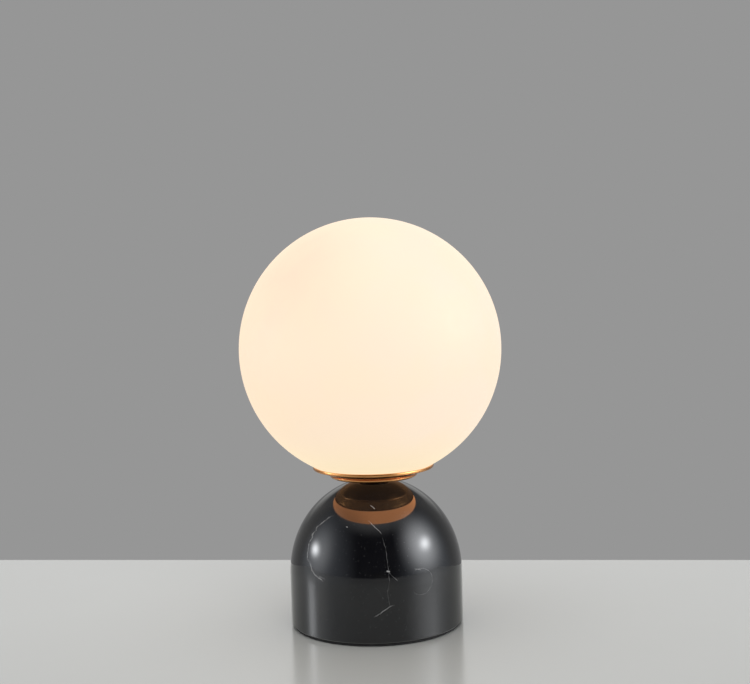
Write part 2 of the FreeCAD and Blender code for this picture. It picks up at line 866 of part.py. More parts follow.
def build():
    save("glass_globe", glass_globe())
    save("globe_gasket", globe_gasket())
    save("upper_dish", upper_dish())
    save("lower_plate", lower_plate())
    save("neck_spacer", disc(neck_radius, marble_top, neck_top, rod_hole_radius))

    save("marble_base", marble_base())
    save("base_pad", base_pad())
    save("bottom_cover", bottom_cover())
    save("cover_screws", on_circle(countersunk_screw(), cover_screw_angles))
    save("cover_inserts", on_circle(cover_insert(), cover_screw_angles))
    save("cord_grommet", cord_grommet())

    save("threaded_rod", threaded_rod())
    save("rod_bushings", [end_bushing(rod_foot, 1), end_bushing(rod_top, -1)])
    save("fitter_nut", hex_nut(top_nut_foot, top_nut_height))
    save("bottom_nut", hex_nut(bottom_nut_foot, bottom_nut_height))
    save("bracket_nut", hex_nut(bracket_floor, bracket_nut_height))
    save("lock_washers", [lock_washer(fitter_top), lock_washer(bottom_washer_foot)])
    save("clamp_washer", disc(clamp_washer_radius, clamp_washer_foot, recess_top, rod_hole_radius))
    save("fitter_plate", fitter_plate())
    save("globe_springs", on_circle(globe_spring(), spring_angles))
    save("spring_rivets", on_circle(spring_rivet(), spring_angles))
    save("pillar_tube", disc(pillar_radius, pillar_foot, bracket_foot, rod_hole_radius))

    half_pitch = pin_pitch / 2.0
    save("holder_bracket", holder_bracket())
    save("holder_body", holder_body())
    save("holder_screws", [holder_screw(-holder_screw_pitch / 2.0), holder_screw(holder_screw_pitch / 2.0)])
    save("holder_contacts", [holder_contact(-half_pitch), holder_contact(half_pitch)])

    save("bulb_envelope", bulb_envelope())
    save("bulb_base", bulb_base())
    save("bulb_pins", [bulb_pin(-half_pitch), bulb_pin(half_pitch)])
    save("led_board", led_board())
    save("led_chips", led_chips())

    save("wiring_strip", wiring_strip())
    save("terminal_block", terminal_block())
    save("terminal_barrels", [terminal_barrel(x) for x in pole_places()])
    save("terminal_screws", [terminal_screw(x, y) for x in pole_places() for y in clamp_places()])
    save("block_screws", [block_screw(-block_screw_offset), block_screw(block_screw_offset)])
    save("earth_screw", earth_screw())
    save("earth_tag", earth_tag())
    save("live_lead", wire_rod(supply_lead(-1, -pole_pitch), lead_bend, lead_radius))
    save("neutral_lead", wire_rod(supply_lead(1, 0.0), lead_bend, lead_radius))
    save("earth_lead", wire_rod(earth_lead(), lead_bend, lead_radius))
    print("top of the marble", round(marble_top, 2), "globe centre", round(globe_centre, 2))


build()
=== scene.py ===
import bpy
import json
import math
from mathutils import Matrix, Vector

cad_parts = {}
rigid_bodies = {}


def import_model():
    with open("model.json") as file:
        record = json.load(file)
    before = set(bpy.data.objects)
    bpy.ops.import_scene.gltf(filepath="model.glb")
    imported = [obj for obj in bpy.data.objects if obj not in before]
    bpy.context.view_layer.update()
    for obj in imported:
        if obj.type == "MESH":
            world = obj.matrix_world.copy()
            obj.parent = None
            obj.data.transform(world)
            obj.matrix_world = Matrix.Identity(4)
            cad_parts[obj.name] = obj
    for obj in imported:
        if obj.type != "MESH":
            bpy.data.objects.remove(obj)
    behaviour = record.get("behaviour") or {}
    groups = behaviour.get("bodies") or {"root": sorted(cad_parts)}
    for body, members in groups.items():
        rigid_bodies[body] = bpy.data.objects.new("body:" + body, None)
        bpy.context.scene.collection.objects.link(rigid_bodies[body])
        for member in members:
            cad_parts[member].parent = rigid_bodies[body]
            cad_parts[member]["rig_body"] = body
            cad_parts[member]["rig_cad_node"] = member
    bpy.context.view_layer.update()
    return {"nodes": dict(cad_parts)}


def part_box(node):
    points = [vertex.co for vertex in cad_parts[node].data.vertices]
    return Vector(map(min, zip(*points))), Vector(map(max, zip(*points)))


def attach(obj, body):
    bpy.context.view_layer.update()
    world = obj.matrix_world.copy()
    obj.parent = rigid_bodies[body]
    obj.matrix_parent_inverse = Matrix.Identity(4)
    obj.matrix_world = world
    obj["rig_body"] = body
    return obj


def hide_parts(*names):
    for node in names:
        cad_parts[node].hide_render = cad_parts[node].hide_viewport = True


# Opal glass globe lamp on a polished marble dome. Blender works in metres, the sizes below are millimetres.
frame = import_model()
nodes = frame["nodes"]
mm = 0.001


# Modelling helpers

def pickOnly(piece):
    bpy.ops.object.select_all(action="DESELECT")
    piece.select_set(True)
    bpy.context.view_layer.objects.active = piece


def startPrimitive(name):
    piece = bpy.context.object
    piece.name = name
    piece.data.name = name
    return piece


def selectEdges(piece, test):
    # picks edges by the places of their two ends, and leaves the piece in edit mode
    pickOnly(piece)
    bpy.ops.object.mode_set(mode="EDIT")
    bpy.ops.mesh.select_mode(type="EDGE")
    bpy.ops.mesh.select_all(action="DESELECT")
    bpy.ops.object.mode_set(mode="OBJECT")
    mesh = piece.data
    for edge in mesh.edges:
        edge.select = test([mesh.vertices[corner].co for corner in edge.vertices])
    bpy.ops.object.mode_set(mode="EDIT")


def arcOutline(centre, radius, start, end, count):
    # points of an arc in the section's plane; angles in degrees from the outward direction
    points = []
    for step in range(count + 1):
        angle = math.radians(start + (end - start) * step / count)
        points.append((centre[0] + radius * math.cos(angle), centre[1] + radius * math.sin(angle)))
    return points


def turnOutline(name, outline, steps):
    # draws a closed or axis-to-axis section point by point, then spins it round the lamp's axis
    bpy.ops.object.select_all(action="DESELECT")
    bpy.ops.mesh.primitive_plane_add(size=mm)
    piece = startPrimitive(name)
    bpy.ops.object.mode_set(mode="EDIT")
    bpy.ops.mesh.select_mode(type="VERT")
    bpy.ops.mesh.merge(type="CENTER")
    bpy.ops.transform.translate(value=(outline[0][0] * mm, 0, outline[0][1] * mm))
    for before, after in zip(outline, outline[1:]):
        move = ((after[0] - before[0]) * mm, 0, (after[1] - before[1]) * mm)
        bpy.ops.mesh.extrude_region_move(TRANSFORM_OT_translate={"value": move})
    bpy.ops.mesh.select_all(action="SELECT")
    bpy.ops.mesh.spin(steps=steps, angle=math.tau, center=(0, 0, 0), axis=(0, 0, 1))
    sealMesh()
    return piece


def sealMesh():
    bpy.ops.mesh.select_all(action="SELECT")
    bpy.ops.mesh.remove_doubles(threshold=0.004 * mm)
    bpy.ops.mesh.normals_make_consistent(inside=False)
    bpy.ops.object.mode_set(mode="OBJECT")


def shadeSmooth(piece, angle=32):
    pickOnly(piece)
    bpy.ops.object.shade_smooth_by_angle(angle=math.radians(angle))


def applyModifier(piece, kind, **settings):
    pickOnly(piece)
    modifier = piece.modifiers.new(kind.title(), kind)
    for key, value in settings.items():
        setattr(modifier, key, value)
    bpy.ops.object.modifier_apply(modifier=modifier.name)


def cutAway(piece, cutter):
    applyModifier(piece, "BOOLEAN", operation="DIFFERENCE", solver="EXACT", object=cutter)
    bpy.data.objects.remove(cutter)


def softCopy(name, node, edge):
    # a merged copy of a plain node with its sharp edges eased, so that they catch the light
    source = nodes[node]
    piece = source.copy()
    piece.data = source.data.copy()
    piece.name = name
    piece.data.name = name
    piece.parent = None
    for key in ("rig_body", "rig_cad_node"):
        if key in piece:
            del piece[key]
    bpy.context.scene.collection.objects.link(piece)
    pickOnly(piece)
    bpy.ops.mesh.customdata_custom_splitnormals_clear()
    bpy.ops.object.mode_set(mode="EDIT")
    bpy.ops.mesh.select_all(action="SELECT")
    bpy.ops.mesh.remove_doubles(threshold=0.002 * mm)
    bpy.ops.mesh.dissolve_limited(angle_limit=math.radians(0.5))
    bpy.ops.mesh.normals_make_consistent(inside=False)
    bpy.ops.object.mode_set(mode="OBJECT")
    applyModifier(piece, "BEVEL", width=edge * mm, segments=2, limit_method="ANGLE",
                  angle_limit=math.radians(40), harden_normals=False, use_clamp_overlap=True)
    shadeSmooth(piece)
    return piece


def place(piece, body, slot, finish, *replaced):
    piece.data.materials.clear()
    piece.data.materials.append(finish)
    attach(piece, body)
    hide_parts(*replaced)


# Material helpers

def newFinish(name):
    finish = bpy.data.materials.new(name)
    finish.use_nodes = True
    tree = finish.node_tree
    return finish, tree, tree.nodes["Principled BSDF"]


def addNode(tree, kind, inputs=None, **settings):
    node = tree.nodes.new("ShaderNode" + kind)
    for key, value in settings.items():
        setattr(node, key, value)
    for key, value in (inputs or {}).items():
        feed(tree, value, node.inputs[key])
    return node


def feed(tree, value, socket):
    if isinstance(value, bpy.types.NodeSocket):
        tree.links.new(value, socket)
    else:
        socket.default_value = value


def calc(tree, operation, *values):
    node = addNode(tree, "Math", operation=operation)
    for value, socket in zip(values, node.inputs):
        feed(tree, value, socket)
    return node.outputs[0]


def vectorCalc(tree, operation, *values, output=0):
    node = addNode(tree, "VectorMath", operation=operation)
    for value, socket in zip(values, node.inputs):
        feed(tree, value, socket)
    return node.outputs[output]


def objectPlace(tree):
    # object coordinates in millimetres
    coordinates = addNode(tree, "TexCoord")
    mapping = addNode(tree, "Mapping", {"Vector": coordinates.outputs["Object"]})
    mapping.inputs["Scale"].default_value = (1 / mm,) * 3
    return mapping.outputs[0]


def noise(tree, spot, grain, detail, roughness=0.5):
    # grain is the size of a blotch, in millimetres
    node = addNode(tree, "TexNoise", {"Vector": spot, "Scale": 1 / grain, "Detail": detail})
    node.inputs["Roughness"].default_value = roughness
    return node


def ramp(tree, factor, *stops):
    # each stop is a place from 0 to 1 and its colour
    node = addNode(tree, "ValToRGB", {"Fac": factor})
    band = node.color_ramp
    while len(band.elements) < len(stops):
        band.elements.new(0.5)
    for element, (position, colour) in zip(band.elements, stops):
        element.position = position
        element.color = (*colour, 1)
    return node.outputs["Color"]


def fade(tree, value, start, end, low=0.0, high=1.0):
    # low up to the start, high from the end on, and a smooth step between them
    ends = {"Value": value, "From Min": start, "From Max": end}
    node = addNode(tree, "MapRange", ends, interpolation_type="SMOOTHSTEP")
    node.inputs["To Min"].default_value = low
    node.inputs["To Max"].default_value = high
    return node.outputs[0]


def blendColours(tree, factor, first, second):
    node = addNode(tree, "Mix", data_type="RGBA")
    feed(tree, factor, node.inputs[0])
    for value, socket in ((first, node.inputs[6]), (second, node.inputs[7])):
        feed(tree, value if isinstance(value, bpy.types.NodeSocket) else (*value, 1), socket)
    return node.outputs[2]


def bump(tree, shader, height, depth):
    # depth is the real height of the relief, in millimetres
    node = addNode(tree, "Bump", {"Height": height, "Distance": depth * mm, "Strength": 1.0})
    tree.links.new(node.outputs[0], shader.inputs["Normal"])


def shade(level, colour):
    return tuple(channel * level for channel in colour)


# Plain finishes: colour, metal share, roughness, the share that they vary by, and the grain and its relief in
# millimetres
plainFinishes = {
    "blackFoam": dict(colour=(0.014, 0.014, 0.015), rough=0.92, vary=0.35, grain=0.5, relief=0.08),
    "blackRubber": dict(colour=(0.016, 0.016, 0.017), rough=0.55, vary=0.25, grain=0.9, relief=0.02),
    "blackCollar": dict(colour=(0.012, 0.012, 0.013), rough=0.42, vary=0.20, grain=1.2, relief=0.01),
    "blackCoat": dict(colour=(0.022, 0.022, 0.024), rough=0.50, vary=0.20, grain=0.4, relief=0.02),
    "clearSilicone": dict(colour=(0.74, 0.73, 0.70), rough=0.45, vary=0.06, grain=2.0, relief=0.01),
    "zincSteel": dict(colour=(0.60, 0.61, 0.63), metal=1.0, rough=0.34, vary=0.14, grain=1.1, relief=0.006),
    "springSteel": dict(colour=(0.55, 0.55, 0.56), metal=1.0, rough=0.24, vary=0.10, grain=1.6, relief=0.004),
    "satinBrass": dict(colour=(0.74, 0.55, 0.27), metal=1.0, rough=0.26, vary=0.10, grain=2.2, relief=0.004),
    "steatite": dict(colour=(0.80, 0.77, 0.71), rough=0.62, vary=0.07, grain=0.8, relief=0.03),
    "bulbCeramic": dict(colour=(0.84, 0.83, 0.79), rough=0.38, vary=0.05, grain=1.5, relief=0.01),
    "whiteMoulding": dict(colour=(0.80, 0.80, 0.77), rough=0.44, vary=0.05, grain=1.8, relief=0.01),
    "boardWhite": dict(colour=(0.82, 0.83, 0.80), rough=0.40, vary=0.06, grain=1.0, relief=0.01),
    "phosphor": dict(colour=(0.86, 0.62, 0.13), rough=0.48, vary=0.12, grain=0.6, relief=0.02),
    "brownSleeve": dict(colour=(0.16, 0.065, 0.028), rough=0.46, vary=0.14, grain=1.4, relief=0.01),
    "blueSleeve": dict(colour=(0.035, 0.12, 0.36), rough=0.46, vary=0.14, grain=1.4, relief=0.01),
    "greenSleeve": dict(colour=(0.10, 0.36, 0.07), rough=0.46, vary=0.14, grain=1.4, relief=0.01),
}


def makePlainFinish(name, colour, rough, vary, grain, relief, metal=0.0):
    finish, tree, shader = newFinish(name)
    spot = objectPlace(tree)
    patches = noise(tree, spot, grain * 9, detail=5.0).outputs["Fac"]
    fine = noise(tree, spot, grain, detail=3.0).outputs["Fac"]
    mixed = calc(tree, "MULTIPLY_ADD", fine, 0.35, calc(tree, "MULTIPLY", patches, 0.65))
    tone = ramp(tree, mixed, (0.25, shade(1 - vary, colour)), (0.75, shade(1 + vary * 0.6, colour)))
    tree.links.new(tone, shader.inputs["Base Color"])
    tree.links.new(fade(tree, mixed, 0.2, 0.8, rough * (1 + vary * 0.4), rough * (1 - vary * 0.4)),
                   shader.inputs["Roughness"])
    shader.inputs["Metallic"].default_value = metal
    bump(tree, shader, fine, relief)
    return finish


finishes = {name: makePlainFinish(name, **values) for name, values in plainFinishes.items()}
print("plain finishes made")


# Globe

globe = {
    "radius": 100.0,
    "wall": 3.0,
    "seatRadius": 33.8,
    "mouthRadius": 28.0,
    "edgeEase": 0.35,
    "segments": 160,
    "rings": 100,
    "brightness": 0.94,
    # painted reflection, a glow that only glossy rays see, so that the polished stone shows it: the colour, the
    # shares of it at the left and from the middle on, the ray lengths that fade it in and out, and the heights over
    # the foot that the dish hides
    "glow": (4.7, 1.86, 0.70),
    "paintedGlowSides": (-45, 5, 0.62, 1.0),
    "paintedGlowNear": (14, 24),
    "paintedGlowFar": (200, 150),
    "paintedGlowFoot": (4.6, 6.6),
}
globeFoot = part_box("glass_globe")[0].z / mm
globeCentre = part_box("glass_globe")[1].z / mm - globe["radius"]


def buildGlobe():
    radius = globe["radius"]
    inner = radius - globe["wall"]
    mouth = globe["mouthRadius"]
    innerEdge = globeCentre - math.sqrt(inner ** 2 - mouth ** 2)
    bpy.ops.object.select_all(action="DESELECT")
    spot = (0, 0, globeCentre * mm)
    size = {"segments": globe["segments"], "ring_count": globe["rings"], "location": spot}
    bpy.ops.mesh.primitive_uv_sphere_add(radius=radius * mm, **size)
    piece = startPrimitive("opalGlobe")
    piece.data.transform(Matrix.Translation(piece.location))
    piece.location = (0, 0, 0)
    bpy.ops.object.mode_set(mode="EDIT")
    bpy.ops.mesh.bisect(plane_co=(0, 0, globeFoot * mm), plane_no=(0, 0, 1), clear_inner=True)
    # ground foot: the cut edge drawn in to the mouth, then up to the inner wall
    bpy.ops.mesh.extrude_region_move(TRANSFORM_OT_translate={"value": (0, 0, 0)})
    inward = mouth / globe["seatRadius"]
    bpy.ops.transform.resize(value=(inward, inward, 1), center_override=(0, 0, globeFoot * mm))
    bpy.ops.mesh.primitive_uv_sphere_add(radius=inner * mm, **size)
    bpy.ops.mesh.bisect(plane_co=(0, 0, innerEdge * mm), plane_no=(0, 0, 1), clear_inner=True)
    bpy.ops.object.mode_set(mode="OBJECT")
    selectEdges(piece, lambda ends: all(
        abs(math.hypot(end.x, end.y) - mouth * mm) < 0.02 * mm and end.z < (innerEdge + 0.1) * mm
        for end in ends))
    bpy.ops.mesh.bridge_edge_loops()
    sealMesh()
    # the two rings of the foot are eased
    selectEdges(piece, lambda ends: all(abs(end.z - globeFoot * mm) < 0.01 * mm for end in ends) and abs(
        math.hypot(ends[0].x, ends[0].y) - math.hypot(ends[1].x, ends[1].y)) < 0.01 * mm)
    bpy.ops.mesh.bevel(offset=globe["edgeEase"] * mm, segments=3, profile=0.5)
    bpy.ops.object.mode_set(mode="OBJECT")
    shadeSmooth(piece, 40)
    return piece


def makeOpal():
    # lit opal glass: warm and rosy at the upper left, paler at the right, deepest near the dish
    finish, tree, shader = newFinish("litOpal")
    spot = objectPlace(tree)
    split = addNode(tree, "SeparateXYZ", {"Vector": spot})
    side = fade(tree, split.outputs["X"], -100, 100)
    tone = blendColours(tree, side, (0.97, 0.77, 0.57), (0.97, 0.80, 0.635))
    low = fade(tree, split.outputs["Z"], globeFoot + 44, globeFoot - 4)
    tone = blendColours(tree, low, tone, (0.99, 0.82, 0.545))
    rosy = vectorCalc(tree, "DISTANCE", spot, (-55, -55, globeCentre + 62), output=1)
    tone = blendColours(tree, fade(tree, rosy, 75, 10), tone, (0.96, 0.70, 0.52))
    cloud = noise(tree, spot, 46.0, detail=2.0).outputs["Fac"]
    tone = blendColours(tree, fade(tree, cloud, 0.35, 0.65, 0.0, 0.3), tone, (0.97, 0.77, 0.53))
    # painted reflection: only glossy rays see this brighter, redder glow, weaker on the left half, so that the
    # polished stone below shows it
    rays = addNode(tree, "LightPath")
    mirrored = fade(tree, rays.outputs["Ray Length"], *(reach * mm for reach in globe["paintedGlowNear"]))
    close = fade(tree, rays.outputs["Ray Length"], *(reach * mm for reach in globe["paintedGlowFar"]))
    mirrored = calc(tree, "MULTIPLY", mirrored, close)
    mirrored = calc(tree, "MULTIPLY", mirrored, rays.outputs["Is Glossy Ray"])
    aboveDish = fade(tree, split.outputs["Z"], *(globeFoot + height for height in globe["paintedGlowFoot"]))
    mirrored = calc(tree, "MULTIPLY", mirrored, aboveDish)
    glow = vectorCalc(tree, "MULTIPLY", globe["glow"], fade(tree, split.outputs["X"], *globe["paintedGlowSides"]))
    tone = blendColours(tree, mirrored, tone, glow)
    tree.links.new(tone, shader.inputs["Emission Color"])
    shader.inputs["Emission Strength"].default_value = globe["brightness"]
    body = ramp(tree, cloud, (0.3, (0.115, 0.108, 0.095)), (0.7, (0.135, 0.126, 0.11)))
    tree.links.new(body, shader.inputs["Base Color"])
    haze = noise(tree, spot, 6.0, detail=3.0).outputs["Fac"]
    tree.links.new(fade(tree, haze, 0.3, 0.7, 0.50, 0.58), shader.inputs["Roughness"])
    shader.inputs["Specular IOR Level"].default_value = 0.25
    bump(tree, shader, haze, 0.01)
    return finish


place(buildGlobe(), "globe", "opal_glass", makeOpal(), "glass_globe")
print("globe made")


# Copper dish in two tiers

dish = {
    "wall": 1.3,
    "globeGap": 0.3,
    "rimRadius": 46.5,
    # rolled lip, from the top of the inner wall round to the outer wall
    "lip": [(0.22, -0.04), (0.46, -0.16), (0.62, -0.40), (0.70, -0.75), (0.70, -1.25), (0.64, -1.75),
            (0.50, -2.10), (0.24, -2.32), (-0.06, -2.34), (-0.32, -2.18)],
    "lipEnd": 45.2,
    "floorEase": 0.5,
    "boreRadius": 5.1,
    "arcSteps": 26,
    "steps": 192,
    # strength of the painted warm glow on the dish's underside, seen only in gloss
    "paintedUnderGlow": 0.17,
}
tier = {
    "radius": 34.0,
    "topEase": 0.15,
    "edgeReach": 2.0,
    "edgeHeight": 2.1,
    "edgeTurn": -84,
    "footStep": 0.4,
    "boreRadius": 5.1,
    "steps": 192,
}
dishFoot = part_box("upper_dish")[0].z / mm
dishFloor = dishFoot + dish["wall"]
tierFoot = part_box("lower_plate")[0].z / mm


def sphereAngle(radius, outward):
    # angle below the globe's centre at which a sphere about it has this distance from the axis
    return -math.degrees(math.acos(outward / radius))


def buildDish():
    inner = globe["radius"] + dish["globeGap"]
    outer = inner + dish["wall"]
    centre = (0.0, globeCentre)
    rim = sphereAngle(outer, dish["rimRadius"])
    floorInner = math.sqrt(inner ** 2 - (globeCentre - dishFloor) ** 2)
    floorOuter = math.sqrt(outer ** 2 - (globeCentre - dishFoot) ** 2)
    outline = [(dish["boreRadius"], dishFoot), (dish["boreRadius"], dishFloor)]
    outline += [(floorInner - dish["floorEase"], dishFloor)]
    outline += arcOutline(centre, inner, sphereAngle(inner, floorInner) + 0.3, rim, dish["arcSteps"])
    rimTop = outline[-1]
    outline += [(rimTop[0] + outward, rimTop[1] + up) for outward, up in dish["lip"]]
    lipEnd = sphereAngle(outer, dish["lipEnd"])
    outline += arcOutline(centre, outer, lipEnd, sphereAngle(outer, floorOuter), dish["arcSteps"])
    outline.append(outline[0])
    piece = turnOutline("copperDish", outline, dish["steps"])
    shadeSmooth(piece, 38)
    return piece


def buildTier():
    radius = tier["radius"]
    reach = tier["edgeReach"]
    outline = [(tier["boreRadius"], tierFoot), (tier["boreRadius"], dishFoot), (radius - tier["topEase"], dishFoot)]
    # the edge rolls in under the tier like a shallow bowl
    for across, down in arcOutline((0, 0), 1.0, 0, tier["edgeTurn"], 16):
        outline.append((radius - reach * (1 - across), tierFoot + tier["edgeHeight"] * (1 + down)))
    outline.append((radius - reach - tier["footStep"], tierFoot))
    outline.append(outline[0])
    piece = turnOutline("copperTier", outline, tier["steps"])
    shadeSmooth(piece, 38)
    return piece


def makeCopper():
    # polished copper with the fine rings of spinning and faint hand marks
    finish, tree, shader = newFinish("polishedCopper")
    spot = objectPlace(tree)
    split = addNode(tree, "SeparateXYZ", {"Vector": spot})
    outward = calc(tree, "SQRT", calc(tree, "ADD", calc(tree, "POWER", split.outputs["X"], 2.0),
                                     calc(tree, "POWER", split.outputs["Y"], 2.0)))
    ringSpot = addNode(tree, "CombineXYZ", {"X": outward, "Y": split.outputs["Z"]}).outputs[0]
    rings = noise(tree, ringSpot, 0.22, detail=3.0).outputs["Fac"]
    smudge = noise(tree, spot, 14.0, detail=4.0).outputs["Fac"]
    tone = ramp(tree, smudge, (0.3, (0.66, 0.30, 0.105)), (0.7, (0.74, 0.36, 0.14)))
    tree.links.new(tone, shader.inputs["Base Color"])
    shader.inputs["Metallic"].default_value = 1.0
    worn = calc(tree, "MULTIPLY_ADD", rings, 0.5, calc(tree, "MULTIPLY", smudge, 0.5))
    tree.links.new(fade(tree, worn, 0.3, 0.7, 0.15, 0.23), shader.inputs["Roughness"])
    bump(tree, shader, rings, 0.004)
    # painted light: faces looking down glow warm, seen only by glossy rays, standing in for the warm light that the
    # stone throws up at the underside, so that the stone shows the underside brown
    facing = addNode(tree, "SeparateXYZ", {"Vector": addNode(tree, "NewGeometry").outputs["Normal"]})
    warm = fade(tree, facing.outputs["Z"], -0.2, -0.6, 0.0, dish["paintedUnderGlow"])
    warm = calc(tree, "MULTIPLY", warm, addNode(tree, "LightPath").outputs["Is Glossy Ray"])
    tree.links.new(warm, shader.inputs["Emission Strength"])
    shader.inputs["Emission Color"].default_value = (1.0, 0.56, 0.30, 1)
    return finish


copper = makeCopper()
place(buildDish(), "base", "copper", copper, "upper_dish")
place(buildTier(), "base", "copper", copper, "lower_plate")
print("dish made")


# Marble dome

dome = {
    "radius": 66.4,
    "straightHeight": 39.0,
    "rise": 71.3,
    "topRadius": 16.0,
    "chamfer": 0.8,
    "boreRadius": 5.5,
    "recessRadius": 34.0,
    "recessDepth": 22.0,
    "rebateRadius": 46.3,
    "rebateDepth": 1.4,
    "sideRings": (13, 26),    # below the shoulder
    "arcSteps": 60,
    "steps": 192,
    "inletHeight": 11.5,
    "inletRadius": 5.0,
    "inletStart": 30.0,
    "flangeRadius": 7.7,
    "flangeDepth": 1.6,
}
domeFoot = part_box("marble_base")[0].z / mm
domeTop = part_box("marble_base")[1].z / mm


def buildDome():
    shoulder = domeFoot + dome["straightHeight"]
    recessTop = domeFoot + dome["recessDepth"]
    rebateTop = domeFoot + dome["rebateDepth"]
    startAngle = math.acos(dome["topRadius"] / dome["radius"])
    radius = dome["radius"]
    ease = dome["chamfer"]
    outline = [(dome["boreRadius"], recessTop), (dome["boreRadius"], domeTop)]
    for step in range(dome["arcSteps"] + 1):
        angle = startAngle * (1 - step / dome["arcSteps"])
        outline.append((radius * math.cos(angle), shoulder + dome["rise"] * math.sin(angle)))
    outline += [(radius, shoulder - below) for below in dome["sideRings"]]
    outline += [(radius, domeFoot + ease), (radius - ease, domeFoot)]
    outline += [(dome["rebateRadius"], domeFoot), (dome["rebateRadius"], rebateTop)]
    outline += [(dome["recessRadius"], rebateTop), (dome["recessRadius"], recessTop)]
    outline.append(outline[0])
    piece = turnOutline("marbleDome", outline, dome["steps"])
    # the inlet's hole, and the flat that its flange is let into
    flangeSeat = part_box("cord_grommet")[1].y / mm - dome["flangeDepth"]
    for holeRadius, start in ((dome["inletRadius"], dome["inletStart"]), (dome["flangeRadius"], flangeSeat)):
        cutAway(piece, layAlongBack(holeRadius, start, radius + 3, dome["inletHeight"]))
    shadeSmooth(piece, 30)
    return piece


def layAlongBack(radius, start, end, height):
    # a cutter from one depth to another towards the back
    bpy.ops.object.select_all(action="DESELECT")
    bpy.ops.mesh.primitive_cylinder_add(
        vertices=64, radius=radius * mm, depth=(end - start) * mm,
        location=(0, (start + end) / 2 * mm, height * mm), rotation=(math.pi / 2, 0, 0))
    return bpy.context.object


# White veins seen on the front: sheets through the stone, each a plane or a ball, kept near one spot
frontVeins = [
    dict(centre=(-43.6, -39.5, 69.1), normal=(0.491, 0.775, -0.398), reach=28.0, width=0.20, strength=0.36),
    dict(centre=(-41.0, -51.9, 47.3), normal=(0.372, -0.208, 0.905), reach=3.0, width=0.30, strength=0.54),
    dict(centre=(0.2, -51.9, 85.4), normal=(0.699, 0.687, 0.2), reach=7.6, width=0.22, strength=0.43),
    dict(centre=(7.5, -61.5, 60.0), normal=(0.833, 0.551, -0.055), reach=21.0, width=0.15, strength=0.19),
    dict(centre=(8.9, -64.3, 55.4), normal=(0.2, 0.3, 0.93), reach=1.3, width=0.50, strength=0.72),
    dict(centre=(12.0, -64.4, 52.0), normal=(0.72, 0.06, 0.69), reach=5.2, width=0.20, strength=0.30),
    dict(centre=(-0.9, -40.1, 98.1), normal=(0.675, 0.565, 0.475), reach=2.7, width=0.28, strength=0.68),
    dict(centre=(-20.5, -48.1, 85.4), normal=(0.3, 0.2, 0.93), reach=1.0, width=0.40, strength=0.43),
    dict(centre=(4.8, -66.0, 26.5), normal=(-0.468, 0.515, 0.718), reach=8.6, width=0.24, strength=0.30),
    dict(centre=(8.7, -65.8, 36.5), normal=(0.95, 0.3, 0.1), reach=7.0, width=0.15, strength=0.16),
    dict(centre=(33.0, -56.6, 45.5), ball=9.6, reach=15.0, width=0.17, strength=0.24),
    dict(centre=(30.5, -58.3, 54.6), normal=(0.25, 0.0, 0.97), reach=3.0, width=0.22, strength=0.36),
]


stone = {
    "drift": 3.0,             # how far the veins wander
    "cloudGrain": 30.0,
    "fleckGrain": 2.6,
    "netGrain": 62.0,         # mesh of the net at the sides and the back
    "netSwing": 60,
    "netStart": (-28, 4),     # fades in from the front to the back
    "veinTone": (0.50, 0.50, 0.50),
    "polish": (0.055, 0.085),
    "refraction": 1.56,
}


